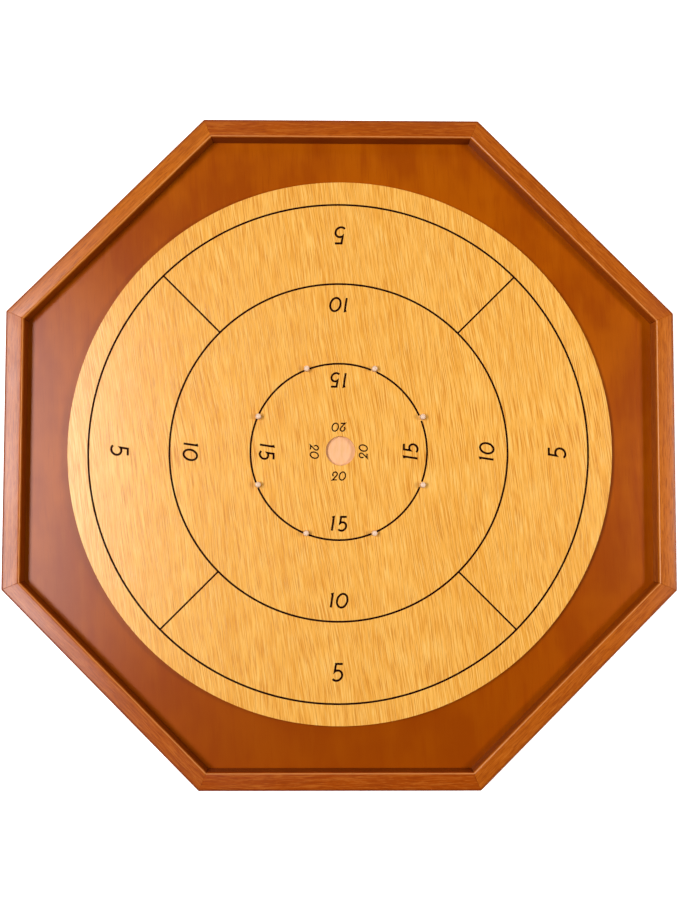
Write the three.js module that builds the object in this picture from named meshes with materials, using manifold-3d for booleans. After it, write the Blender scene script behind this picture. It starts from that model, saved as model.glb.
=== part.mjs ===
// Crokinole board: an eight-sided wooden tray, 30 inches across the flats, with a raised round
// playing disc, a ditch all round it, a shallow centre hole and a ring of eight pegs.
// Millimetres, +Z up. The origin is on the table, under the middle of the board.
// +X is the players' right and -Y is the front of the board.

import * as THREE from 'three';
import { mergeVertices } from 'three/addons/utils/BufferGeometryUtils.js';
import Module from 'manifold-3d';

const wasm = await Module();
wasm.setup();

// Driving dimensions

const SIDES = 8;
const ACROSS_FLATS = 762;

const FIT_GAP = 0.3; // play left round every piece that is let into another

const FOOT_HEIGHT = 4;
const FOOT_RADIUS = 8;
const FOOT_EASE = 0.8;
const FOOT_INSET = 9; // from the outer face of the rail to the middle of the foot

const RAIL_WIDTH = 21;
const RAIL_ABOVE_DITCH = 22;
const RAIL_LIP = 5; // how far a rail reaches below the base panel
const RAIL_TOP_ROUND = 3;
const RAIL_BOTTOM_ROUND = 1;
const GROOVE_DEPTH = 8; // the groove in each rail that holds the base panel

const PANEL_THICKNESS = 6.5;

const DISC_RADIUS = 311.5;
const DISC_THICKNESS = 9.5; // core and veneer together
const VENEER_THICKNESS = 0.6;

const CENTRE_HOLE_RADIUS = 16.8;
const CENTRE_HOLE_DEPTH = 6;

const PEG_CIRCLE_RADIUS = 101.6;
const PEG_RADIUS = 3.2;
const PEG_ABOVE_DISC = 10;
const PEG_TENON = 7.5; // the part of the peg that is glued into the disc
const PEG_TOP_ROUND = 1.6;

const SPLINE_THICKNESS = 4;
const SPLINE_WIDTH = 12; // across the mitre, half of it in each rail
const SPLINE_HEIGHT = 22;
const SPLINE_FROM_CORNER = 8; // from the outer corner of the board to the middle of the spline
const SPLINE_FLOOR = 3; // wood left under the slot

const DISC_SCREW_CIRCLE = 235;
const DISC_SCREW_LENGTH = 13;
const FOOT_SCREW_LENGTH = 12;
const SCREW_SHANK_RADIUS = 1.75;
const SCREW_HEAD_RADIUS = 3.6;
const SCREW_HEAD_HEIGHT = 2;
const SCREW_TIP = 2.5; // length of the pointed end
const SCREW_SUNK = 0.3; // how far a head sits below the face that it is driven into

const ROUND_STEPS = 5; // facets in a rounded edge
const DISC_FACETS = 128;
const HOLE_FACETS = 48;
const SMALL_FACETS = 16;

// Heights above the table, worked out from the sizes above

const RAIL_BOTTOM = FOOT_HEIGHT;
const PANEL_BOTTOM = RAIL_BOTTOM + RAIL_LIP;
const DITCH_FLOOR = PANEL_BOTTOM + PANEL_THICKNESS;
const RAIL_TOP = DITCH_FLOOR + RAIL_ABOVE_DITCH;
const CORE_TOP = DITCH_FLOOR + DISC_THICKNESS - VENEER_THICKNESS;
const PLAYING_SURFACE = DITCH_FLOOR + DISC_THICKNESS;

const SIDE_ANGLE = (2 * Math.PI) / SIDES;
const MITRE_SLOPE = Math.tan(SIDE_ANGLE / 2);
const OUTER_HALF = ACROSS_FLATS / 2;
const INNER_HALF = OUTER_HALF - RAIL_WIDTH;
const FRONT = -Math.PI / 2; // the direction of the front of the board, about +Z

const SIDE_NAMES = [
  'front', 'front_right', 'right', 'back_right', 'back', 'back_left', 'left', 'front_left',
];

const wood = (color, roughness) => new THREE.MeshStandardMaterial({ color, roughness, metalness: 0 });

// Each sub-part has a material of its own, made fresh, so that one can be changed alone.
const MATERIALS = {
  rail: () => wood(0xa9561c, 0.38),
  panel: () => wood(0x9d4c0e, 0.42),
  core: () => wood(0xe3bd8c, 0.7),
  veneer: () => wood(0xf0b765, 0.35),
  peg: () => wood(0xf0cfa8, 0.5),
  spline: () => wood(0xd9b27c, 0.75),
  foot: () => new THREE.MeshStandardMaterial({ color: 0x24211f, roughness: 0.85, metalness: 0 }),
  screw: () => new THREE.MeshStandardMaterial({ color: 0xb9b4a6, roughness: 0.35, metalness: 1 }),
};

const board = new THREE.Group();

function addPiece(name, geometry, material, parent = board) {
  const piece = new THREE.Mesh(geometry, MATERIALS[material]());
  piece.name = name;
  parent.add(piece);
  return piece;
}

// Solids: a three.js geometry becomes a manifold for the joins and cuts, and comes back.

function toSolid(geometry) {
  const bare = geometry.clone();
  bare.deleteAttribute('normal');
  bare.deleteAttribute('uv');
  const merged = mergeVertices(bare, 1e-4);
  return new wasm.Manifold(
    new wasm.Mesh({
      numProp: 3,
      vertProperties: new Float32Array(merged.attributes.position.array),
      triVerts: new Uint32Array(merged.index.array),
    }),
  );
}

function toGeometry(solid) {
  const mesh = solid.getMesh();
  const geometry = new THREE.BufferGeometry();
  geometry.setAttribute('position', new THREE.BufferAttribute(mesh.vertProperties, 3));
  geometry.setIndex(new THREE.BufferAttribute(mesh.triVerts, 1));
  geometry.computeVertexNormals();
  return geometry;
}

function cut(geometry, cutters) {
  const result = cutters.reduce((solid, cutter) => solid.subtract(toSolid(cutter)), toSolid(geometry));
  return toGeometry(result);
}

// Shapes that turn about +Z

// A lathe turns about Y, so this one is tipped up to turn about Z. The profile is a list of
// [radius, height] from the bottom up, and it starts and ends on the axis.
function turned(profile, facets) {
  const points = profile.map(([radius, height]) => new THREE.Vector2(radius, height));
  return new THREE.LatheGeometry(points, facets).rotateX(Math.PI / 2);
}

function round(radius, bottom, top, facets) {
  return turned([[0, bottom], [radius, bottom], [radius, top], [0, top]], facets);
}

// Points of a quarter circle about [x, y], from one angle to another
function arc(x, y, radius, from, to) {
  return Array.from({ length: ROUND_STEPS + 1 }, (_, step) => {
    const angle = from + ((to - from) * step) / ROUND_STEPS;
    return [x + radius * Math.cos(angle), y + radius * Math.sin(angle)];
  });
}

function ringPlace(radius, angle) {
  return [radius * Math.cos(angle), radius * Math.sin(angle), 0];
}

// The directions of the middles of the sides, and of the corners, from the front round to the right
const sideDirection = (index) => FRONT + index * SIDE_ANGLE;
const cornerDirection = (index) => FRONT + (index + 0.5) * SIDE_ANGLE;

// Rails

// The section across a rail: distance from the middle of the board against height. The top edges
// are rounded over, and the groove for the base panel is open to the inside.
function railSection() {
  const grooveBottom = PANEL_BOTTOM - FIT_GAP;
  const grooveTop = DITCH_FLOOR + FIT_GAP;
  const top = RAIL_TOP - RAIL_TOP_ROUND;
  const bottom = RAIL_BOTTOM + RAIL_BOTTOM_ROUND;
  const quarter = Math.PI / 2;
  return [
    ...arc(INNER_HALF + RAIL_BOTTOM_ROUND, bottom, RAIL_BOTTOM_ROUND, -2 * quarter, -quarter),
    ...arc(OUTER_HALF - RAIL_BOTTOM_ROUND, bottom, RAIL_BOTTOM_ROUND, -quarter, 0),
    ...arc(OUTER_HALF - RAIL_TOP_ROUND, top, RAIL_TOP_ROUND, 0, quarter),
    ...arc(INNER_HALF + RAIL_TOP_ROUND, top, RAIL_TOP_ROUND, quarter, 2 * quarter),
    [INNER_HALF, grooveTop],
    [INNER_HALF + GROOVE_DEPTH, grooveTop],
    [INNER_HALF + GROOVE_DEPTH, grooveBottom],
    [INNER_HALF, grooveBottom],
  ];
}

// The front rail. Its section is extruded, and then each end is drawn out along the mitre: the
// further a point is from the middle of the board, the longer the rail is there.
function railBlank() {
  const shape = new THREE.Shape(railSection().map(([x, y]) => new THREE.Vector2(x, y)));
  const geometry = new THREE.ExtrudeGeometry(shape, { depth: 1, bevelEnabled: false });
  const position = geometry.attributes.position;
  const mitreGap = FIT_GAP / 2 / Math.cos(SIDE_ANGLE / 2);
  for (let i = 0; i < position.count; i += 1) {
    const distance = position.getX(i);
    const height = position.getY(i);
    const end = 1 - 2 * position.getZ(i);
    position.setXYZ(i, end * (distance * MITRE_SLOPE - mitreGap), -distance, height);
  }
  return geometry;
}

// A spline, or with some play its slot, at one corner of the board
function splineBlock(corner, play) {
  const block = new THREE.BoxGeometry(
    SPLINE_THICKNESS + 2 * play,
    SPLINE_WIDTH + 2 * play,
    SPLINE_HEIGHT + 2 * play,
  );
  const fromMiddle = OUTER_HALF / Math.cos(SIDE_ANGLE / 2) - SPLINE_FROM_CORNER;
  block.translate(fromMiddle, 0, RAIL_BOTTOM + SPLINE_FLOOR + SPLINE_HEIGHT / 2);
  return block.rotateZ(cornerDirection(corner));
}

const FOOT_FROM_MIDDLE = OUTER_HALF - FOOT_INSET;
const hasFoot = (side) => side % 2 === 1; // the four diagonal rails carry the feet

function railGeometry(side) {
  const cutters = [splineBlock(0, FIT_GAP), splineBlock(-1, FIT_GAP)];
  if (hasFoot(side)) {
    const pilotTop = RAIL_BOTTOM + FOOT_SCREW_LENGTH;
    const pilot = round(SCREW_SHANK_RADIUS + FIT_GAP, RAIL_BOTTOM - 1, pilotTop, SMALL_FACETS);
    cutters.push(pilot.translate(0, -FOOT_FROM_MIDDLE, 0));
  }
  return cut(railBlank(), cutters);
}

function addRails() {
  SIDE_NAMES.forEach((name, side) => {
    addPiece(`rail_${name}`, railGeometry(side), 'rail').rotation.z = side * SIDE_ANGLE;
  });
}

function addSplines() {
  SIDE_NAMES.forEach((_, corner) => {
    addPiece(`mitre_spline_${corner + 1}`, splineBlock(corner, 0), 'spline');
  });
}

// Screws

// A countersunk wood screw with its point up, so that its flat head is at height 0
function countersunkScrew(length, play) {
  const shank = SCREW_SHANK_RADIUS + play;
  const head = SCREW_HEAD_RADIUS + play;
  return [[0, 0], [head, 0], [shank, SCREW_HEAD_HEIGHT], [shank, length - SCREW_TIP], [0, length]];
}

const DISC_SCREW_HEAD = PANEL_BOTTOM + SCREW_SUNK;

// The hole for a disc screw: the screw's own shape with some play, open below the panel
function discScrewHole() {
  const head = SCREW_HEAD_RADIUS + FIT_GAP;
  const shank = SCREW_SHANK_RADIUS + FIT_GAP;
  const top = DISC_SCREW_HEAD + DISC_SCREW_LENGTH + FIT_GAP;
  const headTop = DISC_SCREW_HEAD + SCREW_HEAD_HEIGHT + FIT_GAP;
  const below = PANEL_BOTTOM - 1;
  return turned(
    [[0, below], [head, below], [head, DISC_SCREW_HEAD], [shank, headTop], [shank, top], [0, top]],
    SMALL_FACETS,
  );
}

const discScrewPlaces = SIDE_NAMES.map((_, i) => ringPlace(DISC_SCREW_CIRCLE, cornerDirection(i)));

function addDiscScrews() {
  discScrewPlaces.forEach(([x, y], index) => {
    const screw = turned(countersunkScrew(DISC_SCREW_LENGTH, 0), SMALL_FACETS);
    addPiece(`disc_screw_${index + 1}`, screw, 'screw').position.set(x, y, DISC_SCREW_HEAD);
  });
}

// Base panel: the floor of the ditch, let into the rails all round

function addBasePanel() {
  const half = INNER_HALF + GROOVE_DEPTH - FIT_GAP;
  const corner = half / Math.cos(SIDE_ANGLE / 2);
  const outline = SIDE_NAMES.map((_, i) => {
    const [x, y] = ringPlace(corner, cornerDirection(i));
    return new THREE.Vector2(x, y);
  });
  const shape = new THREE.Shape(outline);
  const panel = new THREE.ExtrudeGeometry(shape, { depth: PANEL_THICKNESS, bevelEnabled: false });
  panel.translate(0, 0, PANEL_BOTTOM);
  const holes = discScrewPlaces.map((place) => discScrewHole().translate(...place));
  addPiece('base_panel', cut(panel, holes), 'panel');
}

// Playing disc: a core on the base panel, with the face veneer glued over it

const pegPlaces = SIDE_NAMES.map((_, i) => ringPlace(PEG_CIRCLE_RADIUS, cornerDirection(i)));

// The pegs and the centre hole go down through the veneer into the core.
function discHoles() {
  const above = PLAYING_SURFACE + 1;
  const pegBottom = PLAYING_SURFACE - PEG_TENON - FIT_GAP;
  const centreBottom = PLAYING_SURFACE - CENTRE_HOLE_DEPTH;
  return [
    round(CENTRE_HOLE_RADIUS, centreBottom, above, HOLE_FACETS),
    ...pegPlaces.map((place) =>
      round(PEG_RADIUS + FIT_GAP, pegBottom, above, SMALL_FACETS).translate(...place),
    ),
  ];
}

function addPlayingDisc() {
  const core = round(DISC_RADIUS, DITCH_FLOOR, CORE_TOP, DISC_FACETS);
  const veneer = round(DISC_RADIUS, CORE_TOP, PLAYING_SURFACE, DISC_FACETS);
  const screwHoles = discScrewPlaces.map((place) => discScrewHole().translate(...place));
  addPiece('playing_disc_core', cut(core, [...discHoles(), ...screwHoles]), 'core');
  addPiece('playing_disc_veneer', cut(veneer, discHoles()), 'veneer');
}

function addPegs() {
  const profile = [
    [0, -PEG_TENON],
    [PEG_RADIUS, -PEG_TENON],
    ...arc(PEG_RADIUS - PEG_TOP_ROUND, PEG_ABOVE_DISC - PEG_TOP_ROUND, PEG_TOP_ROUND, 0, Math.PI / 2),
    [0, PEG_ABOVE_DISC],
  ];
  pegPlaces.forEach(([x, y], index) => {
    const peg = turned(profile, SMALL_FACETS);
    addPiece(`peg_${index + 1}`, peg, 'peg').position.set(x, y, PLAYING_SURFACE);
  });
}

// Feet: rubber rings under the diagonal rails, each held by a screw whose head is sunk in it

function addFeet() {
  const bore = SCREW_SHANK_RADIUS + FIT_GAP;
  const seat = SCREW_HEAD_RADIUS + FIT_GAP;
  const seatTop = SCREW_SUNK + SCREW_HEAD_HEIGHT + FIT_GAP;
  const ring = [
    [bore, seatTop],
    [seat, SCREW_SUNK],
    [seat, 0],
    ...arc(FOOT_RADIUS - FOOT_EASE, FOOT_EASE, FOOT_EASE, -Math.PI / 2, 0),
    [FOOT_RADIUS, FOOT_HEIGHT],
    [bore, FOOT_HEIGHT],
    [bore, seatTop],
  ];
  SIDE_NAMES.forEach((name, side) => {
    if (!hasFoot(side)) return;
    const place = ringPlace(FOOT_FROM_MIDDLE, sideDirection(side));
    addPiece(`foot_${name}`, turned(ring, 2 * SMALL_FACETS), 'foot').position.set(...place);
    const screw = turned(countersunkScrew(FOOT_SCREW_LENGTH, 0), SMALL_FACETS);
    addPiece(`foot_screw_${name}`, screw, 'screw').position.set(place[0], place[1], SCREW_SUNK);
  });
}

addRails();
addSplines();
addBasePanel();
addPlayingDisc();
addDiscScrews();
addPegs();
addFeet();

export default board;
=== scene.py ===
# The looks of the crokinole board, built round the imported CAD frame, in metres.
#
# The rails, the playing disc, the pegs, the screws and the feet are rebuilt here with eased edges and
# finer curves. The base panel and the hidden mitre splines keep their CAD shape and get wood of their
# own. The ring lines, quadrant lines and score numbers are thin films of ink on the veneer.

import math
import random

import bmesh
import bpy
from mathutils import Euler, Matrix, Vector


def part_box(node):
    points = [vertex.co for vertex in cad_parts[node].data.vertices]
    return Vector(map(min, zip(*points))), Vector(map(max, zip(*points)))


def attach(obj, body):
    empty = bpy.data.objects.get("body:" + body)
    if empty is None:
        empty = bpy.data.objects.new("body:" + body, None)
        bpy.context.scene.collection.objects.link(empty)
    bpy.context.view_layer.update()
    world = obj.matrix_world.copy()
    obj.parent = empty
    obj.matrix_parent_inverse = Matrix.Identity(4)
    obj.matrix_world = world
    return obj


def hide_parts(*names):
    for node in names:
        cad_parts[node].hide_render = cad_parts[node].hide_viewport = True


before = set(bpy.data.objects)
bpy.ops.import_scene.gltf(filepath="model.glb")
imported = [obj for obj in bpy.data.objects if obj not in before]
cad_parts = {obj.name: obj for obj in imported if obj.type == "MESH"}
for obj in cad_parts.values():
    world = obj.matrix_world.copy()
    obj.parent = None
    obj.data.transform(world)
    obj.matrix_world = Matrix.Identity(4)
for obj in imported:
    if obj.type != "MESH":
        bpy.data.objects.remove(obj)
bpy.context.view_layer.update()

MM = 0.001

# Places and sizes, from the frame

SIDES = ("front", "front_right", "right", "back_right", "back", "back_left", "left", "front_left")
SIDE_ANGLE = math.tau / len(SIDES)
MITRE_SLOPE = math.tan(SIDE_ANGLE / 2)

FRONT_RAIL_LOW, FRONT_RAIL_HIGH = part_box("rail_front")
RAIL_OUTSIDE = -FRONT_RAIL_LOW.y
RAIL_INSIDE = -FRONT_RAIL_HIGH.y
RAIL_BOTTOM = FRONT_RAIL_LOW.z
RAIL_TOP = FRONT_RAIL_HIGH.z

PANEL_LOW, PANEL_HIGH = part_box("base_panel")
DITCH_FLOOR = PANEL_HIGH.z
VENEER_LOW, VENEER_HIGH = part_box("playing_disc_veneer")
SURFACE = VENEER_HIGH.z
DISC_RADIUS = VENEER_HIGH.x
FOOT_SIDES = [side for side in SIDES if f"foot_{side}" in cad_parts]

CENTRE_HOLE_RADIUS = 16.8 * MM
CENTRE_HOLE_DEPTH = 6 * MM
SMALL_PLAY = 0.06 * MM  # between a piece and the hole or slot that it sits in
FRONT = math.radians(-90)  # the direction from the middle of the board to its front

# The print, which was laid down a little to the left and front of the centre hole and the pegs

PRINT_CENTRE = Vector((-1.9 * MM, -0.8 * MM))
INK_THICKNESS = 0.05 * MM
LINE_WIDTH = 2.2 * MM
QUADRANT_LINE_WIDTH = 0.9 * LINE_WIDTH
RING_5_RADIUS = 285.9 * MM
RING_10_RADIUS = 193.4 * MM
RING_15_RADIUS = 101.0 * MM


# Mesh helpers

SHARP_ANGLE = math.radians(35)  # a sharper corner than this is shaded as a corner
EASED_ANGLE = math.radians(40)  # a sharper corner than this is rounded by ease
LINE_CORNER = 0.35  # stops a printed line's sharp corners from running out into spikes


def link(name, mesh):
    piece = bpy.data.objects.new(name, mesh)
    bpy.context.scene.collection.objects.link(piece)
    return piece


def mesh_object(name, vertices, faces):
    mesh = bpy.data.meshes.new(name)
    mesh.from_pydata([tuple(v) for v in vertices], [], faces)
    mesh.update()
    return link(name, mesh)


def apply_modifiers(piece):
    """Turns the modifiers of a piece into plain mesh."""
    graph = bpy.context.evaluated_depsgraph_get()
    mesh = bpy.data.meshes.new_from_object(piece.evaluated_get(graph))
    piece.modifiers.clear()
    old = piece.data
    piece.data = mesh
    bpy.data.meshes.remove(old)


def carve(piece, cutters):
    """Cuts the cutters out of the piece, and deletes them."""
    for cutter in cutters:
        cut = piece.modifiers.new("cut", "BOOLEAN")
        cut.operation = "DIFFERENCE"
        cut.solver = "EXACT"
        cut.object = cutter
    apply_modifiers(piece)
    for cutter in cutters:
        bpy.data.objects.remove(cutter)


def ease(piece, width, segments):
    """Rounds the sharp edges of a piece."""
    bevel = piece.modifiers.new("ease", "BEVEL")
    bevel.width = width
    bevel.segments = segments
    bevel.limit_method = "ANGLE"
    bevel.angle_limit = EASED_ANGLE
    apply_modifiers(piece)


def smooth(piece):
    """Smooth shading that leaves large flat faces flat."""
    piece.data.shade_smooth()
    piece.data.set_sharp_from_angle(angle=SHARP_ANGLE)
    weighted = piece.modifiers.new("weighted", "WEIGHTED_NORMAL")
    weighted.keep_sharp = True
    weighted.weight = 100
    apply_modifiers(piece)


def dress(piece, material, slot, *nodes):
    """Gives a finished piece its material and hides the CAD nodes that it replaces. The slot is not used.
    """
    piece.data.materials.clear()
    piece.data.materials.append(material)
    smooth(piece)
    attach(piece, "root")
    if nodes:
        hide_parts(*nodes)


def arc(x, y, radius, start, end, steps):
    """Points of an arc about (x, y), with its angles in degrees."""
    angles = [math.radians(start + (end - start) * i / steps) for i in range(steps + 1)]
    return [(x + radius * math.cos(a), y + radius * math.sin(a)) for a in angles]


def turned(name, profile, centre, segments, thread=None):
    """A solid of revolution. The profile is a list of (radius, height) that starts and ends on the
    axis. thread(radius, height, turn), where it is given, changes the radius round the turn."""
    vertices = []
    rings = []
    for radius, height in profile:
        if radius == 0:
            rings.append([len(vertices)] * segments)
            vertices.append((centre[0], centre[1], height))
            continue
        rings.append(range(len(vertices), len(vertices) + segments))
        for i in range(segments):
            turn = i / segments
            reach = thread(radius, height, turn) if thread else radius
            x = centre[0] + reach * math.cos(turn * math.tau)
            y = centre[1] + reach * math.sin(turn * math.tau)
            vertices.append((x, y, height))
    return mesh_object(name, vertices, ring_faces(rings, segments))


def ring_faces(rings, segments):
    """Faces between each ring of vertex numbers and the next. A ring on the axis is one point."""
    faces = []
    for below, above in zip(rings, rings[1:]):
        for i in range(segments):
            j = (i + 1) % segments
            corners = (below[i], below[j], above[j], above[i])
            faces.append(tuple(dict.fromkeys(corners)))
    return faces


def plug(radius, bottom, top, segments, centre=(0, 0), name="cutter"):
    """A plain round solid: a cutter, or a blank for cutting."""
    return turned(name, [(0, bottom), (radius, bottom), (radius, top), (0, top)], centre, segments)


def ribbon(points, width, closed):
    """Vertices and faces of a flat film that follows a line on the veneer, with mitred corners."""
    count = len(points)
    sides = []
    for i, point in enumerate(points):
        before = points[i - 1] if closed or i > 0 else point
        after = points[(i + 1) % count] if closed or i < count - 1 else point
        into = (point - before).normalized() if before != point else (after - point).normalized()
        out = (after - point).normalized() if after != point else into
        along = (into + out).normalized()
        across = Vector((-along.y, along.x))
        reach = width / 2 / max(LINE_CORNER, across.dot(Vector((-into.y, into.x))))
        sides.append((point + across * reach, point - across * reach))
    vertices = []
    for left, right in sides:
        for side, height in ((left, 0), (right, 0), (right, INK_THICKNESS), (left, INK_THICKNESS)):
            vertices.append(Vector((side.x, side.y, SURFACE + height)))
    faces = []
    for i in range(count if closed else count - 1):
        here, there = 4 * i, 4 * ((i + 1) % count)
        for k in range(4):
            m = (k + 1) % 4
            faces.append((here + k, there + k, there + m, here + m))
    if not closed:
        last = 4 * (count - 1)
        faces.append((0, 1, 2, 3))
        faces.append((last + 3, last + 2, last + 1, last))
    return vertices, faces


def join_solids(solids):
    """One list of vertices and one of faces, from several."""
    vertices = []
    faces = []
    for solid_vertices, solid_faces in solids:
        start = len(vertices)
        vertices.extend(solid_vertices)
        faces.extend(tuple(start + i for i in face) for face in solid_faces)
    return vertices, faces


# Material helpers

def srgb(red, green, blue):
    """A colour given as it looks on a screen, 0 to 255, as the linear values that a shader takes."""
    def linear(value):
        value /= 255
        return value / 12.92 if value <= 0.04045 else ((value + 0.055) / 1.055) ** 2.4
    return (linear(red), linear(green), linear(blue), 1)


class Paint:
    """A material's node tree, written a node at a time."""

    def __init__(self, name, roughness, specular=0.5):
        """The roughness is the material's mean, before any node varies it."""
        self.material = bpy.data.materials.new(name)
        self.material.use_nodes = True
        self.tree = self.material.node_tree
        self.shader = self.tree.nodes["Principled BSDF"]
        self.shader.inputs["Roughness"].default_value = roughness
        self.shader.inputs["Specular IOR Level"].default_value = specular
        self.coordinates = self.node("ShaderNodeTexCoord")

    def node(self, kind, inputs=None, **settings):
        """A new node. An input is a fixed value, or a socket that feeds it."""
        made = self.tree.nodes.new(kind)
        for key, value in settings.items():
            setattr(made, key, value)
        for key, value in (inputs or {}).items():
            if isinstance(value, bpy.types.NodeSocket):
                self.tree.links.new(value, made.inputs[key])
            else:
                made.inputs[key].default_value = value
        return made

    def set(self, socket, value):
        """Feeds one of the shader's inputs from another node's socket."""
        self.tree.links.new(value, self.shader.inputs[socket])

    def math(self, operation, first, second=0.0):
        return self.node("ShaderNodeMath", {0: first, 1: second}, operation=operation).outputs[0]

    def part(self, vector, axis):
        """One coordinate of a vector."""
        return self.node("ShaderNodeSeparateXYZ", {"Vector": vector}).outputs[axis]

    def facing(self, axis):
        """How far the surface faces along an axis, from -1 to 1."""
        return self.part(self.coordinates.outputs["Normal"], axis)

    def along(self, turn=0.0, offset=(0, 0, 0)):
        """Object coordinates, turned so that X runs along the grain."""
        inputs = {
            "Vector": self.coordinates.outputs["Object"],
            "Rotation": (0, 0, turn),
            "Location": offset,
        }
        return self.node("ShaderNodeMapping", inputs, vector_type="TEXTURE").outputs[0]

    def sized(self, vector, length, width, depth):
        """The same coordinates, counted in steps of that length, width and depth."""
        inputs = {"Vector": vector, "Scale": (1 / length, 1 / width, 1 / depth)}
        return self.node("ShaderNodeMapping", inputs, vector_type="POINT").outputs[0]

    def noise(self, vector, size, detail=2.0, roughness=0.5):
        """Soft noise whose blobs are that long, wide and deep, in metres."""
        inputs = {
            "Vector": self.sized(vector, *size),
            "Scale": 1.0,
            "Detail": detail,
            "Roughness": roughness,
        }
        return self.node("ShaderNodeTexNoise", inputs).outputs[0]

    def span(self, value, low, high, to_low=0.0, to_high=1.0):
        """The value, moved smoothly from one range to another and held inside it."""
        inputs = {
            "Value": value, "From Min": low, "From Max": high, "To Min": to_low, "To Max": to_high,
        }
        return self.node("ShaderNodeMapRange", inputs, interpolation_type="SMOOTHSTEP").outputs[0]

    def mix(self, factor, first, second):
        """The first colour where the factor is 0, and the second where it is 1. The node's sockets 6, 7
        and 2 are its colours; the others of the same names are for numbers and vectors."""
        return self.node("ShaderNodeMix", {0: factor, 6: first, 7: second}, data_type="RGBA").outputs[2]

    def tint_high(self, colour, noise, low, high, share, tint):
        """The colour, tinted by up to that share as the noise rises from low to high."""
        return self.mix(self.span(noise, low, high, 0, share), colour, tint)

    def tint_low(self, colour, noise, low, high, share, tint):
        """The colour, tinted by up to that share as the noise falls from high to low."""
        return self.mix(self.span(noise, low, high, share, 0), colour, tint)

    def bump(self, height, distance, strength, below=None):
        """A bumped normal. The height runs from 0 to 1 over that distance."""
        inputs = {"Height": height, "Distance": distance, "Strength": strength}
        if below is not None:
            inputs["Normal"] = below
        return self.node("ShaderNodeBump", inputs).outputs[0]

    def wander(self, vector, size, reach):
        """The coordinates, with the grain drifting sideways by up to that reach."""
        drift = self.math("MULTIPLY", self.math("SUBTRACT", self.noise(vector, size), 0.5), 2 * reach)
        shift = self.node("ShaderNodeCombineXYZ", {"Y": drift}).outputs[0]
        return self.node("ShaderNodeVectorMath", {0: vector, 1: shift}, operation="ADD").outputs[0]


# Materials

VENEER_GRAIN = math.radians(98)  # nearly front to back, leaning a little


def veneer_material():
    """Golden face veneer: pale and dark streaks and short open pores, under satin lacquer."""
    paint = Paint("golden_veneer", roughness=0.24, specular=0.29)
    grain = paint.wander(paint.along(VENEER_GRAIN), (0.30, 0.09, 1), 12 * MM)
    grain = paint.wander(grain, (0.06, 0.03, 1), 0.8 * MM)
    bands = paint.noise(grain, (0.5, 0.022, 1), detail=3)
    streaks = paint.noise(grain, (0.090, 0.0030, 1), detail=3, roughness=0.6)
    threads = paint.noise(grain, (0.032, 0.0010, 1), detail=2, roughness=0.5)
    pores = paint.noise(grain, (0.040, 0.0010, 1), detail=2, roughness=0.6)

    colour = paint.mix(paint.span(bands, 0.3, 0.7), srgb(253, 188, 86), srgb(245, 175, 70))
    colour = paint.tint_high(colour, streaks, 0.50, 0.66, 0.4, srgb(232, 153, 49))
    colour = paint.tint_low(colour, streaks, 0.34, 0.48, 0.45, srgb(255, 201, 106))
    colour = paint.tint_high(colour, threads, 0.50, 0.64, 0.65, srgb(224, 144, 45))
    colour = paint.tint_low(colour, threads, 0.36, 0.48, 0.65, srgb(255, 207, 117))
    open_pores = paint.span(pores, 0.54, 0.62, 0, 0.7)
    colour = paint.mix(open_pores, colour, srgb(210, 130, 38))
    paint.set("Base Color", colour)

    paint.set("Roughness", paint.span(streaks, 0.3, 0.7, 0.22, 0.26))
    fine = paint.bump(threads, 0.02 * MM, 0.4)
    paint.set("Normal", paint.bump(paint.math("SUBTRACT", 1.0, open_pores), 0.04 * MM, 0.5, fine))
    return paint.material


# How light each rail's wood has taken the stain, from the darkest piece of wood to the lightest

RAIL_TONES = {
    "front": 0.0, "front_right": 0.6, "right": 0.95, "back_right": 0.5,
    "back": 0.2, "back_left": 1.0, "left": 0.55, "front_left": 0.3,
}

# How much painted shade darkens the faces down each rail, different for each side

FACE_SHADE = {
    "front": 0.7, "front_right": 0.35, "right": 0.1, "back_right": 0.15,
    "back": 0.75, "back_left": 0.65, "left": 0.5, "front_left": 0.75,
}


# The pale line along a rail, partly sanded stain and partly a painted highlight, fades in and out over
# these distances from the rail's inside face, and the painted shade along the outside edge fades in over
# these from its outside face.

HIGHLIGHT_SANDED_IN = (0.9 * MM, 1.4 * MM)
HIGHLIGHT_SANDED_OUT = (1.9 * MM, 2.6 * MM)
SHADED_EDGE = (4 * MM, 1.6 * MM)


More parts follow.
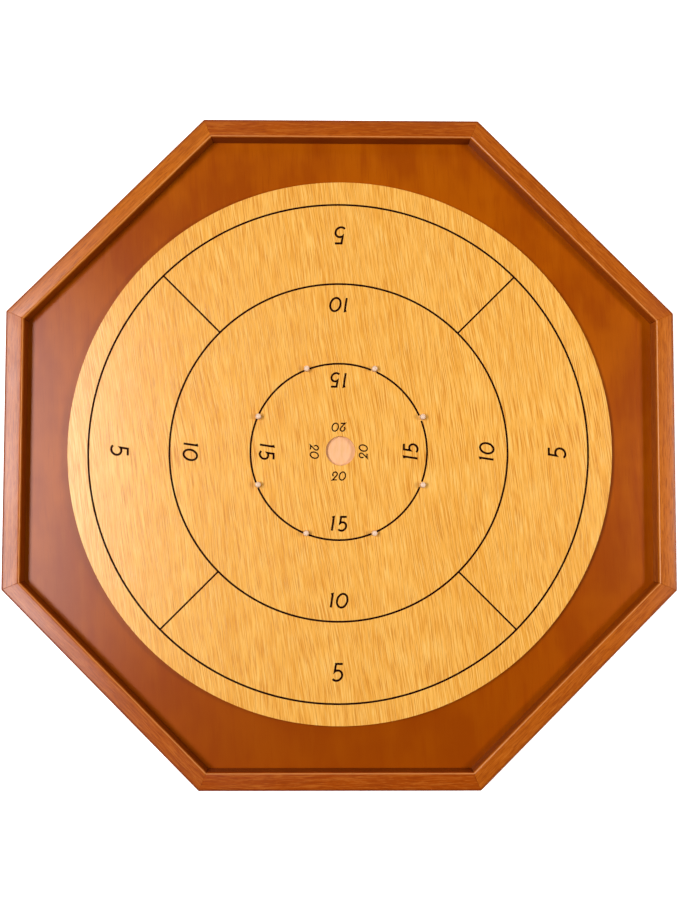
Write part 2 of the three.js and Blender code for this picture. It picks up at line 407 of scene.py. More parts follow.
def rail_material(name, turn, number, tone, face_shade):
    """Reddish-brown stained hardwood, with the grain along the rail. Painted shade darkens the faces and
    the outside edge, and a pale line along the upper inside edge is thinned, sanded stain and a painted
    highlight."""
    paint = Paint(name, roughness=0.24, specular=0.22)
    own_place_in_the_wood = (0.7 * number, 0, 0.3 * number)
    grain = paint.wander(paint.along(turn, own_place_in_the_wood), (0.15, 0.03, 0.03), 2 * MM)
    clouds = paint.noise(grain, (0.06, 0.03, 0.03), detail=2)
    streaks = paint.noise(grain, (0.05, 0.0030, 0.0030), detail=4, roughness=0.6)
    threads = paint.noise(grain, (0.012, 0.0010, 0.0010), detail=3, roughness=0.6)

    stain = paint.mix(tone, srgb(166, 72, 7), srgb(196, 104, 20))
    dark = paint.mix(0.6, stain, srgb(130, 48, 3))
    light = paint.mix(0.35, stain, srgb(222, 136, 50))
    colour = paint.tint_high(stain, clouds, 0.35, 0.65, 0.25, dark)
    colour = paint.tint_high(colour, streaks, 0.50, 0.70, 0.7, dark)
    colour = paint.tint_low(colour, streaks, 0.30, 0.48, 0.7, light)
    colour = paint.tint_high(colour, threads, 0.52, 0.64, 0.8, dark)
    colour = paint.tint_low(colour, threads, 0.34, 0.48, 0.6, light)

    across = paint.math("MULTIPLY", paint.part(paint.along(turn), "Y"), -1.0)
    # Painted shade: the faces down the rail are darkened by the share given for its side.
    upright = paint.span(paint.facing("Z"), 0.15, 0.75, 1, 0)
    colour = paint.mix(paint.math("MULTIPLY", upright, face_shade), colour, srgb(112, 38, 2))
    # Painted highlight, partly sanded stain: a pale line along the upper inside edge.
    past_wall = paint.span(across, RAIL_INSIDE + HIGHLIGHT_SANDED_IN[0], RAIL_INSIDE + HIGHLIGHT_SANDED_IN[1])
    before_top = paint.span(across, RAIL_INSIDE + HIGHLIGHT_SANDED_OUT[0], RAIL_INSIDE + HIGHLIGHT_SANDED_OUT[1], 1, 0)
    sanded_and_highlit = paint.math("MULTIPLY", past_wall, before_top)
    colour = paint.mix(paint.math("MULTIPLY", sanded_and_highlit, 0.5), colour, srgb(242, 166, 92))
    # Painted shade along the outside edge of the rail.
    outside_shade = paint.span(across, RAIL_OUTSIDE - SHADED_EDGE[0], RAIL_OUTSIDE - SHADED_EDGE[1], 0, 0.5)
    colour = paint.mix(outside_shade, colour, srgb(112, 38, 2))
    paint.set("Base Color", colour)

    paint.set("Roughness", paint.span(clouds, 0.3, 0.7, 0.22, 0.27))
    paint.set("Normal", paint.bump(threads, 0.02 * MM, 0.3))
    return paint.material


def panel_material():
    """The base panel: smooth stained plywood in the ditch, darker toward the front, and bare
    plywood underneath."""
    paint = Paint("stained_panel", roughness=0.24, specular=0.125)
    grain = paint.wander(paint.along(math.radians(93)), (0.3, 0.08, 1), 6 * MM)
    clouds = paint.noise(grain, (0.11, 0.07, 1), detail=3, roughness=0.55)
    smears = paint.noise(grain, (0.09, 0.012, 1), detail=3)
    threads = paint.noise(grain, (0.03, 0.0014, 1), detail=3, roughness=0.6)

    stain = paint.mix(paint.span(clouds, 0.36, 0.64), srgb(157, 69, 0), srgb(174, 84, 0))
    stain = paint.tint_high(stain, smears, 0.52, 0.72, 0.4, srgb(148, 59, 0))
    stain = paint.tint_low(stain, smears, 0.30, 0.46, 0.2, srgb(186, 98, 8))
    stain = paint.tint_high(stain, threads, 0.52, 0.72, 0.25, srgb(130, 48, 0))
    # The ditch is made darker toward the front.
    front_to_back = paint.part(paint.coordinates.outputs["Object"], "Y")
    darker_toward_front = paint.span(front_to_back, -RAIL_INSIDE, 0.0, 0.6, 0)
    stain = paint.mix(darker_toward_front, stain, srgb(145, 60, 0))

    bare = paint.mix(paint.span(clouds, 0.3, 0.7), srgb(214, 178, 132), srgb(226, 192, 148))
    bare = paint.tint_high(bare, threads, 0.5, 0.72, 0.5, srgb(188, 146, 98))
    bare = paint.tint_high(bare, smears, 0.58, 0.75, 0.4, srgb(196, 156, 108))

    stained = paint.span(paint.facing("Z"), 0.4, 0.6)
    paint.set("Base Color", paint.mix(stained, bare, stain))
    paint.set("Roughness", paint.span(stained, 0.0, 1.0, 0.62, 0.24))
    paint.set("Normal", paint.bump(threads, 0.02 * MM, 0.3))
    return paint.material


def core_material():
    """Pale plywood core: layered at the edge, and plain in the floor of the centre hole."""
    paint = Paint("birch_core", roughness=0.5, specular=0.35)
    grain = paint.along(math.radians(90))
    figure = paint.noise(paint.wander(grain, (0.02, 0.02, 1), 1.5 * MM), (0.02, 0.004, 1), detail=3)
    threads = paint.noise(grain, (0.010, 0.0007, 0.0007), detail=3, roughness=0.6)
    face = paint.mix(paint.span(figure, 0.35, 0.65), srgb(247, 190, 140), srgb(240, 182, 122))
    face = paint.tint_high(face, threads, 0.55, 0.75, 0.35, srgb(222, 158, 104))

    two_plies = 3.6 * MM
    height = paint.math("SUBTRACT", paint.part(grain, "Z"), DITCH_FLOOR)
    ply = paint.math("FRACT", paint.math("DIVIDE", height, two_plies))
    dark_ply = paint.math("GREATER_THAN", ply, 0.5)
    edge = paint.mix(dark_ply, srgb(226, 178, 118), srgb(186, 128, 74))
    edge = paint.tint_high(edge, threads, 0.45, 0.7, 0.4, srgb(170, 112, 62))
    level = paint.span(paint.math("ABSOLUTE", paint.facing("Z")), 0.4, 0.8)
    paint.set("Base Color", paint.mix(level, edge, face))
    paint.set("Roughness", paint.span(figure, 0.3, 0.7, 0.44, 0.56))
    paint.set("Normal", paint.bump(threads, 0.05 * MM, 0.5))
    return paint.material


def peg_material():
    """Turned maple, with fine upright grain."""
    paint = Paint("maple_dowel", roughness=0.42, specular=0.45)
    upright = paint.node(
        "ShaderNodeMapping",
        {"Vector": paint.coordinates.outputs["Object"], "Rotation": (0, math.radians(90), 0)},
        vector_type="TEXTURE",
    ).outputs[0]
    figure = paint.noise(upright, (0.012, 0.0012, 0.0012), detail=3, roughness=0.6)
    flecks = paint.noise(upright, (0.004, 0.0005, 0.0005), detail=2)
    colour = paint.mix(paint.span(figure, 0.35, 0.65), srgb(246, 214, 186), srgb(236, 196, 158))
    colour = paint.tint_high(colour, flecks, 0.58, 0.75, 0.45, srgb(212, 166, 124))
    paint.set("Base Color", colour)
    paint.set("Roughness", paint.span(flecks, 0.3, 0.7, 0.36, 0.50))
    paint.set("Normal", paint.bump(figure, 0.04 * MM, 0.5))
    return paint.material


def ink_material():
    """Near-black ink that has soaked a little into the pores of the veneer."""
    paint = Paint("black_ink", roughness=0.7, specular=0.04)
    grain = paint.along(VENEER_GRAIN)
    soak = paint.noise(grain, (0.010, 0.0009, 1), detail=3, roughness=0.6)
    colour = paint.mix(paint.span(soak, 0.52, 0.78, 0, 0.8), srgb(30, 2, 0), srgb(52, 12, 2))
    paint.set("Base Color", colour)
    paint.set("Roughness", paint.span(soak, 0.3, 0.7, 0.66, 0.78))
    paint.set("Normal", paint.bump(soak, 0.02 * MM, 0.4))
    return paint.material


def spline_material():
    """Bare plywood tongues, glued in the mitres."""
    paint = Paint("spline_plywood", roughness=0.7, specular=0.3)
    grain = paint.along(0)
    layers = paint.noise(grain, (0.02, 0.02, 0.0016), detail=2)
    threads = paint.noise(grain, (0.0012, 0.0012, 0.012), detail=3)
    colour = paint.mix(paint.span(layers, 0.4, 0.6), srgb(222, 182, 128), srgb(196, 148, 94))
    colour = paint.tint_high(colour, threads, 0.55, 0.75, 0.4, srgb(170, 120, 72))
    paint.set("Base Color", colour)
    paint.set("Roughness", paint.span(threads, 0.3, 0.7, 0.6, 0.8))
    paint.set("Normal", paint.bump(threads, 0.05 * MM, 0.5))
    return paint.material


def screw_material():
    """Zinc plate, dulled in patches."""
    paint = Paint("zinc_plate", roughness=0.35)
    paint.shader.inputs["Metallic"].default_value = 1.0
    grain = paint.along(0)
    patches = paint.noise(grain, (0.002, 0.002, 0.002), detail=4, roughness=0.6)
    colour = paint.mix(paint.span(patches, 0.35, 0.7), srgb(206, 202, 190), srgb(160, 154, 138))
    paint.set("Base Color", colour)
    paint.set("Roughness", paint.span(patches, 0.3, 0.7, 0.26, 0.5))
    paint.set("Normal", paint.bump(patches, 0.02 * MM, 0.4))
    return paint.material


def rubber_material():
    """Matte black rubber, with a fine grain and a dusty bloom."""
    paint = Paint("black_rubber", roughness=0.8, specular=0.3)
    grain = paint.along(0)
    pits = paint.noise(grain, (0.0006, 0.0006, 0.0006), detail=2)
    bloom = paint.noise(grain, (0.006, 0.006, 0.006), detail=3)
    colour = paint.mix(paint.span(bloom, 0.4, 0.7), srgb(34, 32, 30), srgb(58, 55, 52))
    paint.set("Base Color", colour)
    paint.set("Roughness", paint.span(bloom, 0.3, 0.7, 0.72, 0.9))
    paint.set("Normal", paint.bump(pits, 0.06 * MM, 0.6))
    return paint.material


# Cutters for what is let into another piece

WELD = 0.001 * MM  # corners closer than this are one corner


def pocket(node):
    """A cutter of the shape of a CAD node, grown by a little play."""
    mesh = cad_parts[node].data
    corners = [vertex.co.copy() for vertex in mesh.vertices]
    cutter = mesh_object("cutter", corners, [tuple(face.vertices) for face in mesh.polygons])
    shape = bmesh.new()
    shape.from_mesh(cutter.data)
    bmesh.ops.remove_doubles(shape, verts=shape.verts, dist=WELD)
    shape.normal_update()
    for vertex in shape.verts:
        vertex.co += vertex.normal * vertex.calc_shell_factor() * SMALL_PLAY
    shape.to_mesh(cutter.data)
    shape.free()
    return cutter


def centre_of(node):
    low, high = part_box(node)
    return (low + high) / 2


# Rails

CROWN = 0.13 * MM  # the top of a rail is this much higher in the middle than at its rounded edges
CROWN_SLOPE = 2  # degrees, where the crown meets the rounded edges
INSIDE_ROUND = 3.4 * MM
OUTSIDE_ROUND = 2.2 * MM
BOTTOM_ROUND = 1.0 * MM
MITRE_EASE = 0.25 * MM
MITRE_GLUE = 0.03 * MM
GROOVE_DEPTH = 8.2 * MM
GROOVE_PLAY = 0.04 * MM
SANDING = 0.05 * MM  # how far hand sanding has left the top of a rail from straight
SANDED_HEIGHT = 4 * MM  # how far down from the top the sanding has reached
SANDING_MEMORY = 0.6  # how much of the sanding at one place along a rail carries on to the next
SECTION_CORNER = 0.5  # stops the section's sharp corners from moving in too far
CROWN_STEPS = 8
RAIL_STEPS = 24
FOOT_SCREW_HOLE_RADIUS = 1.85 * MM


def rail_section():
    """The section across a rail, as (distance from the middle of the board, height)."""
    edge_height = RAIL_TOP - CROWN
    tangent = math.cos(math.radians(CROWN_SLOPE))
    outer_height = edge_height - OUTSIDE_ROUND * tangent
    inner_height = edge_height - INSIDE_ROUND * tangent
    outer = arc(RAIL_OUTSIDE - OUTSIDE_ROUND, outer_height, OUTSIDE_ROUND, 0, 90 - CROWN_SLOPE, 9)
    inner = arc(RAIL_INSIDE + INSIDE_ROUND, inner_height, INSIDE_ROUND, 90 + CROWN_SLOPE, 180, 12)
    left, right = inner[0][0], outer[-1][0]
    crown = []
    for i in range(1, CROWN_STEPS):
        across = right + (left - right) * i / CROWN_STEPS
        share = 2 * i / CROWN_STEPS - 1
        crown.append((across, edge_height + CROWN * (1 - share * share)))
    low = RAIL_BOTTOM + BOTTOM_ROUND
    groove_top = DITCH_FLOOR + GROOVE_PLAY
    groove_bottom = PANEL_LOW.z - GROOVE_PLAY
    return [
        *arc(RAIL_INSIDE + BOTTOM_ROUND, low, BOTTOM_ROUND, 180, 270, 5),
        *arc(RAIL_OUTSIDE - BOTTOM_ROUND, low, BOTTOM_ROUND, 270, 360, 5),
        *outer,
        *crown,
        *inner,
        (RAIL_INSIDE, groove_top),
        (RAIL_INSIDE + GROOVE_DEPTH, groove_top),
        (RAIL_INSIDE + GROOVE_DEPTH, groove_bottom),
        (RAIL_INSIDE, groove_bottom),
    ]


def shrunk(section, inset):
    """The section with its outline moved in by the inset."""
    moved = []
    count = len(section)
    for i in range(count):
        before, here, after = (Vector(section[(i + k) % count]) for k in (-1, 0, 1))
        into, out = (here - before).normalized(), (after - here).normalized()
        inward = Vector((-into.y - out.y, into.x + out.x)).normalized()
        reach = inset / max(SECTION_CORNER, inward.dot(Vector((-into.y, into.x))))
        moved.append(tuple(here + inward * reach))
    return moved


def rail(side, number):
    """One rail, lofted along its length, with its ends cut to the mitre and their arrises eased."""
    section = rail_section()
    eased = shrunk(section, MITRE_EASE)
    turn = Matrix.Rotation(number * SIDE_ANGLE, 4, "Z")
    waves = random.Random(number)
    stations = [(-1, eased, 0)]
    for i in range(RAIL_STEPS + 1):
        stations.append((2 * i / RAIL_STEPS - 1, section, MITRE_EASE))
    stations.append((1, eased, 0))
    drift = 0
    vertices = []
    for share, outline, shortened in stations:
        drift = SANDING_MEMORY * drift + waves.uniform(-1, 0) * (1 - SANDING_MEMORY) * SANDING
        for distance, height in outline:
            reach = distance * MITRE_SLOPE - MITRE_GLUE - shortened
            top_share = max(0, (height - RAIL_TOP + SANDED_HEIGHT) / SANDED_HEIGHT)
            vertices.append(turn @ Vector((share * reach, -distance, height + drift * top_share)))
    count = len(section)
    rings = [range(i * count, (i + 1) * count) for i in range(len(stations))]
    faces = ring_faces(rings, count)
    faces.append(tuple(reversed(rings[0])))
    faces.append(tuple(rings[-1]))
    piece = mesh_object(f"{side}_rail", vertices, faces)
    fix_normals(piece)
    carve(piece, rail_cutters(side, number))
    return piece


def rail_cutters(side, number):
    """What is cut out of a rail: the slots of the splines at its two ends, and its foot's screw hole.
    The splines are numbered round the board, from the one at the front rail's right end."""
    corners = [number or len(SIDES), number + 1]
    cutters = [pocket(f"mitre_spline_{corner}") for corner in corners]
    if side in FOOT_SIDES:
        x, y, _ = centre_of(f"foot_screw_{side}")
        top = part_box(f"foot_screw_{side}")[1].z + SMALL_PLAY
        cutters.append(plug(FOOT_SCREW_HOLE_RADIUS, RAIL_BOTTOM - MM, top, SCREW_SEGMENTS, (x, y)))
    return cutters


def fix_normals(piece):
    """Turns all the faces of a closed piece to point out."""
    shape = bmesh.new()
    shape.from_mesh(piece.data)
    bmesh.ops.recalc_face_normals(shape, faces=shape.faces)
    shape.to_mesh(piece.data)
    shape.free()


def build_rails():
    for number, side in enumerate(SIDES):
        turn = number * SIDE_ANGLE
        name = f"stained_rail_{side}"
        material = rail_material(name, turn, number, RAIL_TONES[side], FACE_SHADE[side])
        dress(rail(side, number), material, "rail", f"rail_{side}")


# Playing disc

PEGS = [f"peg_{i}" for i in range(1, 9)]
DISC_SCREWS = [f"disc_screw_{i}" for i in range(1, 9)]
DISC_SEGMENTS = 360
CENTRE_HOLE_SEGMENTS = 96
PEG_HOLE_SEGMENTS = 32
VENEER_EASE = 0.22 * MM


def peg_cutters():
    cutters = []
    for node in PEGS:
        low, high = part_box(node)
        radius = (high.x - low.x) / 2 + SMALL_PLAY
        middle = centre_of(node)
        bottom = low.z - SMALL_PLAY
        cutters.append(plug(radius, bottom, high.z, PEG_HOLE_SEGMENTS, (middle.x, middle.y)))
    return cutters


def build_disc():
    hole = (CENTRE_HOLE_RADIUS, SURFACE - CENTRE_HOLE_DEPTH, SURFACE + MM, CENTRE_HOLE_SEGMENTS)
    core_top = VENEER_LOW.z

    core = plug(DISC_RADIUS, DITCH_FLOOR, core_top, DISC_SEGMENTS, name="disc_core_board")
    screw_cutters = [pocket(node) for node in DISC_SCREWS]
    carve(core, [plug(*hole), *peg_cutters(), *screw_cutters])
    dress(core, core_material(), "core", "playing_disc_core")

    face = plug(DISC_RADIUS, core_top, SURFACE, DISC_SEGMENTS, name="disc_face_veneer")
    carve(face, [plug(*hole), *peg_cutters()])
    ease(face, VENEER_EASE, 3)
    dress(face, veneer_material(), "veneer", "playing_disc_veneer")


# Pegs

PEG_CHAMFER = 0.4 * MM
PEG_ROUND = 1.7 * MM
PEG_DOME = 0.35 * MM  # how far the middle of a peg's end stands above its rounded edge
PEG_CAP_SHARE = 0.225  # a ring near the middle of the end: its share of the radius, and how low it is
PEG_CAP_DROP = 0.06 * MM
PEG_RINGS = (0.5 * MM, 5 * MM)  # the heights above the disc of two rings round a peg's straight side
PEG_SEGMENTS = 40


def build_pegs():
    material = peg_material()
    for node in PEGS:
        low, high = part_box(node)
        middle = centre_of(node)
        radius = (high.x - low.x) / 2
        profile = [
            (0, low.z),
            (radius - PEG_CHAMFER, low.z),
            (radius, low.z + PEG_CHAMFER),
            *((radius, SURFACE + height) for height in PEG_RINGS),
            *arc(radius - PEG_ROUND, high.z - PEG_DOME - PEG_ROUND, PEG_ROUND, 0, 80, 8),
            (PEG_CAP_SHARE * radius, high.z - PEG_CAP_DROP),
            (0, high.z),
        ]
        piece = turned(f"dowel_{node}", profile, (middle.x, middle.y), PEG_SEGMENTS)
        fix_normals(piece)
        dress(piece, material, "peg", node)


# Ink

RING_STEPS = 288
ARC_STEPS = 28
PEG_CLEARANCE = 0.1 * MM  # between a peg and the ends of the arcs beside it


def ink_piece(name, solids, material):
    piece = mesh_object(name, *join_solids(solids))
    fix_normals(piece)
    dress(piece, material, "ink")


def print_point(radius, angle):
    return PRINT_CENTRE + Vector((radius * math.cos(angle), radius * math.sin(angle)))


def ring_points(radius, start, end, steps):
    return [print_point(radius, start + (end - start) * i / steps) for i in range(steps + 1)]


def ring_15_arcs():
    """The innermost ring is printed in eight arcs, which stop at the pegs."""
    angles = []
    for node in PEGS:
        middle = centre_of(node).to_2d() - PRINT_CENTRE
        angles.append(math.atan2(middle.y, middle.x) % math.tau)
    angles.sort()
    peg_low, peg_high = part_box(PEGS[0])
    gap = ((peg_high.x - peg_low.x) / 2 + PEG_CLEARANCE) / RING_15_RADIUS
    solids = []
    for start, end in zip(angles, angles[1:] + [angles[0] + math.tau]):
        points = ring_points(RING_15_RADIUS, start + gap, end - gap, ARC_STEPS)
        solids.append(ribbon(points, LINE_WIDTH, False))
    return solids


def build_rings(material):
    for name, radius in (("ring_5_line", RING_5_RADIUS), ("ring_10_line", RING_10_RADIUS)):
        points = ring_points(radius, 0, math.tau, RING_STEPS)[:-1]
        ink_piece(name, [ribbon(points, LINE_WIDTH, True)], material)
    ink_piece("ring_15_line", ring_15_arcs(), material)


def build_quadrant_lines(material):
    """Four lines from ring to ring, each toward the middle of a diagonal side."""
    inner = RING_10_RADIUS + LINE_WIDTH / 2
    outer = RING_5_RADIUS - LINE_WIDTH / 2
    for number in range(1, len(SIDES), 2):
        angle = FRONT + number * SIDE_ANGLE
        points = [print_point(inner, angle), print_point(outer, angle)]
        name = f"quadrant_line_{SIDES[number]}"
        ink_piece(name, [ribbon(points, QUADRANT_LINE_WIDTH, False)], material)


# Score numbers. Each digit's function gives the points of its one line, drawn one unit high and upright,
# and whether the line closes on itself.

LEAN = 0.15  # how far the top of a digit leans past its foot, as a share of its height


def digit_1():
    return [(-0.12, 0.965), (0.0, 1.0), (0.0, 0.0)], False


def digit_5():
    bowl = arc(0.165, 0.305, 0.305, 132, -140, 22)
    return [(0.41, 1.0), (0.0, 1.0), (-0.005, 0.55), *bowl[1:]], False


def digit_0():
    narrowed = 0.76
    circle = arc(0, 0.5, 0.5, 90, 450, 40)[:-1]
    return [(narrowed * x, y) for x, y in circle], True


def digit_2():
    hook = arc(0.20, 0.72, 0.28, 205, -25, 18)
    foot = [(0.30, 0.40), (0.10, 0.15), (-0.03, 0.0), (0.22, 0.035), (0.40, 0.03), (0.52, 0.0)]
    return [(0.04, 0.47), *hook, *foot], False


DIGITS = {"0": digit_0, "1": digit_1, "2": digit_2, "5": digit_5}

# Each number: how tall its digits are, the width of its line, where each digit's drawing begins (as a
# share of its height), and how far the number is from the middle of the print

NUMBERS = {
    "5": (18.9 * MM, 2.5 * MM, (-0.22,), 250.3 * MM),
    "10": (15.4 * MM, 2.4 * MM, (-0.50, 0.27), 169.6 * MM),
    "15": (15.7 * MM, 2.4 * MM, (-0.42, 0.10), 82.4 * MM),
    "20": (9.2 * MM, 1.5 * MM, (-0.70, 0.45), 28.0 * MM),
}


def number_solids(text, player):
    """The digits of a number, upright as the player on that side sees them."""
    height, width, starts, distance = NUMBERS[text]
    turn = Matrix.Rotation(player * 2 * SIDE_ANGLE, 2)
    solids = []
    for letter, start in zip(text, starts):
        outline, closed = DIGITS[letter]()
        points = []
        for x, y in outline:
            leaning = start + x + LEAN * (y - 0.5)
            flat = Vector((leaning * height, (y - 0.5) * height - distance))
            points.append(PRINT_CENTRE + turn @ flat)
        solids.append(ribbon(points, width, closed))
    return solids


def build_numbers(material):
    for player, side in enumerate(("front", "right", "back", "left")):
        for text in NUMBERS:
            ink_piece(f"score_{text}_{side}", number_solids(text, player), material)


def build_ink():
    material = ink_material()
    build_rings(material)
    build_quadrant_lines(material)
    build_numbers(material)


# Screws

HEAD_HEIGHT = 2.0 * MM
HEAD_EASE = 0.15 * MM
SCREW_SUNK = 0.3 * MM  # how far a head sits below the face that it is driven into
SHANK_RADIUS = 1.75 * MM
PLAIN_SHANK = 1.0 * MM  # between the head and the thread
POINT_LENGTH = 2.5 * MM
POINT_STEPS = 8
BLUNT_POINT = 0.3 * MM  # the thread fades out where the point is thinner than this
THREAD_PITCH = 1.6 * MM
THREAD_DEPTH = 0.45 * MM
THREAD_RIDGE = 0.28  # half the width of the ridge, as a share of the pitch
ROWS_PER_PITCH = 8
SCREW_SEGMENTS = 24
CROSS_TURNS = (20, 110)  # degrees, the directions of the two bars of the cross in a head


def build_screw(node, material):
    """A countersunk wood screw, with its head down, a cross recess and a turned thread."""
    low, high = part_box(node)
    middle = centre_of(node)
    head = (high.x - low.x) / 2
    thread_start = low.z + HEAD_HEIGHT + PLAIN_SHANK
    tip_start = high.z - POINT_LENGTH
    threaded = tip_start - thread_start

    def thread(radius, height, turn):
        if height <= thread_start or radius < BLUNT_POINT:
            return radius
        phase = ((height - thread_start) / THREAD_PITCH - turn) % 1
        ridge = max(0, 1 - abs(phase - 0.5) / THREAD_RIDGE)
        grow_in = min(1, (height - thread_start) / THREAD_PITCH)
        return radius - THREAD_DEPTH * (1 - ridge) * grow_in * radius / SHANK_RADIUS

    profile = [(0, low.z), (head - HEAD_EASE, low.z), (head, low.z + HEAD_EASE)]
    profile += [(SHANK_RADIUS, low.z + HEAD_HEIGHT), (SHANK_RADIUS, thread_start)]
    rows = int(threaded / (THREAD_PITCH / ROWS_PER_PITCH))
    for i in range(1, rows + 1):
        profile.append((SHANK_RADIUS, thread_start + threaded * i / rows))
    for i in range(1, POINT_STEPS):
        share = i / POINT_STEPS
        profile.append((SHANK_RADIUS * (1 - share), tip_start + (high.z - tip_start) * share))
    profile.append((0, high.z))
    piece = turned(f"wood_{node}", profile, (middle.x, middle.y), SCREW_SEGMENTS, thread)
    fix_normals(piece)
    carve(piece, [cross_recess(middle, low.z, turn) for turn in CROSS_TURNS])
    dress(piece, material, "screw", node)


def cross_recess(middle, face, turn):
    """A cutter for one bar of the cross in a screw's head: wide at the face and narrower inside. Each of
    its two ends has half its length, half its width, and its height above the face."""
    ends = ((1.9 * MM, 0.42 * MM, -0.5 * MM), (1.0 * MM, 0.28 * MM, 1.3 * MM))
    spin = Matrix.Rotation(math.radians(turn), 2)
    vertices = []
    for half_length, half_width, height in ends:
        for x, y in ((-1, -1), (1, -1), (1, 1), (-1, 1)):
            flat = spin @ Vector((x * half_length, y * half_width))
            vertices.append((middle.x + flat.x, middle.y + flat.y, face + height))
    faces = ring_faces([range(0, 4), range(4, 8)], 4)
    faces += [(3, 2, 1, 0), (4, 5, 6, 7)]
    cutter = mesh_object("cutter", vertices, faces)
    fix_normals(cutter)
    return cutter


def build_screws():
    material = screw_material()
    foot_screws = [f"foot_screw_{side}" for side in FOOT_SIDES]
    for node in DISC_SCREWS + foot_screws:
        build_screw(node, material)


# Feet

FOOT_ROUND = 0.8 * MM
FOOT_BORE = 1.9 * MM
FOOT_SEGMENTS = 64
SEAT_RADIUS = 3.75 * MM  # the cone in a foot that its screw's head sits in
SEAT_EASE = 0.25 * MM
SEAT_PLAY = 0.1 * MM
SEAT_TOP = SCREW_SUNK + HEAD_HEIGHT + SEAT_PLAY
FOOT_NECK = 1.3 * MM  # how far below a foot's top the fine groove round it is deepest
NECK_DEPTH = 0.3 * MM


def build_feet():
    material = rubber_material()
    for side in FOOT_SIDES:
        node = f"foot_{side}"
        low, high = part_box(node)
        radius = (high.x - low.x) / 2
        profile = [
            (FOOT_BORE, SEAT_TOP),
            (SEAT_RADIUS, SEAT_EASE),
            (SEAT_RADIUS + SEAT_EASE, low.z),
            *arc(radius - FOOT_ROUND, low.z + FOOT_ROUND, FOOT_ROUND, 270, 360, 8),
            (radius, high.z - FOOT_NECK - NECK_DEPTH),
            (radius - NECK_DEPTH, high.z - FOOT_NECK),
            (radius, high.z - FOOT_NECK + NECK_DEPTH),
            (radius, high.z),
            (FOOT_BORE, high.z),
        ]
        foot = ring_solid(f"rubber_{node}", profile, centre_of(node), FOOT_SEGMENTS)
        dress(foot, material, "foot", node)


def ring_solid(name, profile, middle, segments):
    """A closed profile turned about an upright axis that it doesn't touch."""
    vertices = []
    for i in range(segments):
        angle = math.tau * i / segments
        for radius, height in profile:
            x = middle.x + radius * math.cos(angle)
            y = middle.y + radius * math.sin(angle)
            vertices.append((x, y, height))
    count = len(profile)
    rings = [range(i * count, (i + 1) * count) for i in range(segments)] + [range(count)]
    piece = mesh_object(name, vertices, ring_faces(rings, count))
    fix_normals(piece)
    return piece


# CAD nodes that keep their shape

def paint_kept_nodes():
    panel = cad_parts["base_panel"]
    panel.data.materials.clear()
    panel.data.materials.append(panel_material())
    tongue = spline_material()
    for corner in range(1, len(SIDES) + 1):
        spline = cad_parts[f"mitre_spline_{corner}"]
        spline.data.materials.clear()
        spline.data.materials.append(tongue)


# Studio

WHITE = (1, 1, 1, 1)
KEY_COLOUR = (1, 0.97, 0.99)
WORLD_GLOW = 0.10  # how bright the world is round the horizon; it fades out overhead
FADE_START = 0.5  # the fade's two heights, as the sine of the angle above the horizon
FADE_END = 0.85
FLOOR_REACH = 30
FLOOR_GLOW = 0.75


def softbox(name, low, high, height, brightness, colour=(1, 1, 1)):
    """A level panel of light over the rectangle from low to high, as bright as that many whites."""
    lamp = bpy.data.lights.new(name, "AREA")
    lamp.shape = "RECTANGLE"
    lamp.size = high[0] - low[0]
    lamp.size_y = high[1] - low[1]
    lamp.energy = brightness * math.pi * lamp.size * lamp.size_y
    lamp.color = colour
    light = link(name, lamp)
    light.location = ((low[0] + high[0]) / 2, (low[1] + high[1]) / 2, height)


def build_lights():
    """A broad far key light from the left, a small near fill from the right and a faint one behind."""
    softbox("key_left", (-1.50, -0.67), (-0.86, 0.66), height=2.6, brightness=25.3, colour=KEY_COLOUR)
    softbox("fill_right", (1.05, -0.25), (1.40, 0.25), height=1.5, brightness=31.5)
    softbox("fill_back", (-0.80, 1.10), (0.80, 1.70), height=1.5, brightness=1.3)


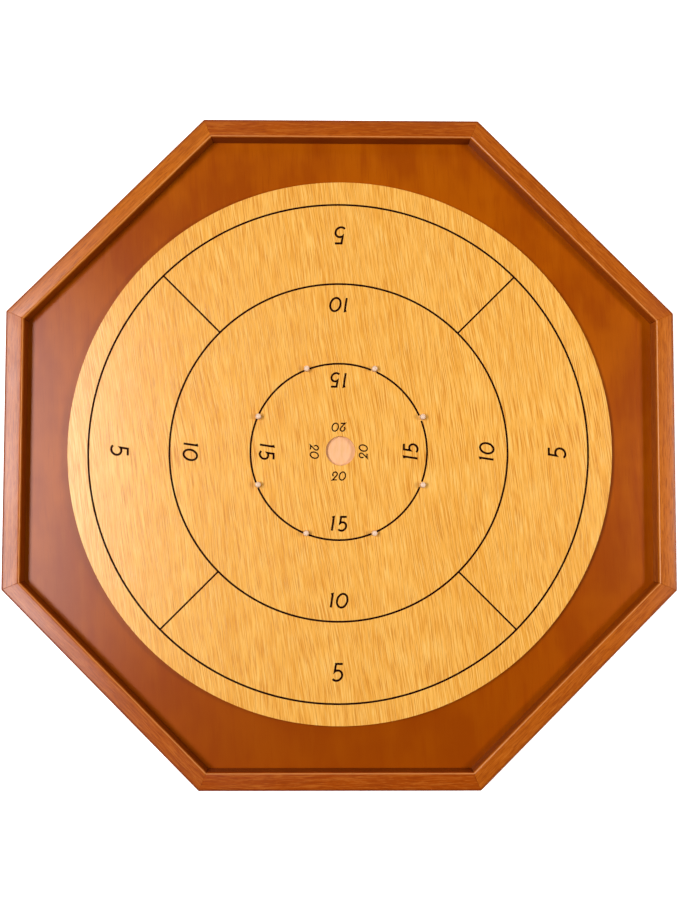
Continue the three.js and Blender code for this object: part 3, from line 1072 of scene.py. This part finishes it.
def build_world():
    """A faint even glow from all round, which leaves the sky straight above dark, so that the lacquer
    doesn't mirror it toward the camera."""
    world = bpy.data.worlds.new("studio")
    bpy.context.scene.world = world
    world.use_nodes = True
    tree = world.node_tree
    background = tree.nodes["Background"]
    direction = tree.nodes.new("ShaderNodeTexCoord")
    parts = tree.nodes.new("ShaderNodeSeparateXYZ")
    fade = tree.nodes.new("ShaderNodeMapRange")
    tree.links.new(direction.outputs["Generated"], parts.inputs[0])
    tree.links.new(parts.outputs["Z"], fade.inputs["Value"])
    fade.inputs["From Min"].default_value = FADE_START
    fade.inputs["From Max"].default_value = FADE_END
    fade.inputs["To Min"].default_value = WORLD_GLOW
    fade.inputs["To Max"].default_value = 0.0
    background.inputs["Color"].default_value = WHITE
    tree.links.new(fade.outputs[0], background.inputs["Strength"])


def build_floor():
    """A wide pale floor, which gives off a little light of its own so that it comes out white."""
    corners = [(x * FLOOR_REACH, y * FLOOR_REACH, 0) for x, y in ((-1, -1), (1, -1), (1, 1), (-1, 1))]
    floor = mesh_object("studio_floor", corners, [(0, 1, 2, 3)])
    paint = Paint("pale_floor", roughness=0.9, specular=0.1)
    mottle = paint.noise(paint.along(0), (0.5, 0.5, 0.5), detail=2)
    paint.set("Base Color", paint.mix(mottle, (0.93, 0.93, 0.93, 1), (0.95, 0.95, 0.95, 1)))
    paint.shader.inputs["Emission Color"].default_value = WHITE
    paint.shader.inputs["Emission Strength"].default_value = FLOOR_GLOW
    floor.data.materials.append(paint.material)


# Camera

CAMERA_ABOVE_RAILS = 1300 * MM
CAMERA_ACROSS = -17.44 * MM
CAMERA_ALONG = -69.5 * MM
CAMERA_TILT = (-3.1249, 0.7117, -0.1338)  # degrees
FOCAL_LENGTH = 46.06  # millimetres, as Blender counts it
SENSOR = 36  # millimetres, along the picture's longer side
FARTHEST_SEEN = 100


def build_camera():
    """The camera looks almost straight down, from a little in front of and left of the middle."""
    lens_data = bpy.data.cameras.new("camera")
    lens_data.sensor_width = SENSOR
    lens_data.lens = FOCAL_LENGTH
    lens_data.clip_end = FARTHEST_SEEN
    camera = link("camera", lens_data)
    place = Vector((CAMERA_ACROSS, CAMERA_ALONG, RAIL_TOP + CAMERA_ABOVE_RAILS))
    tilt = Euler([math.radians(angle) for angle in CAMERA_TILT], "XYZ").to_matrix()
    camera.matrix_world = Matrix.Translation(place) @ tilt.transposed().to_4x4()
    bpy.context.scene.camera = camera


bpy.context.scene.view_settings.view_transform = "Standard"
build_camera()
build_lights()
build_world()
build_floor()
build_rails()
build_disc()
build_pegs()
build_ink()
build_screws()
build_feet()
paint_kept_nodes()
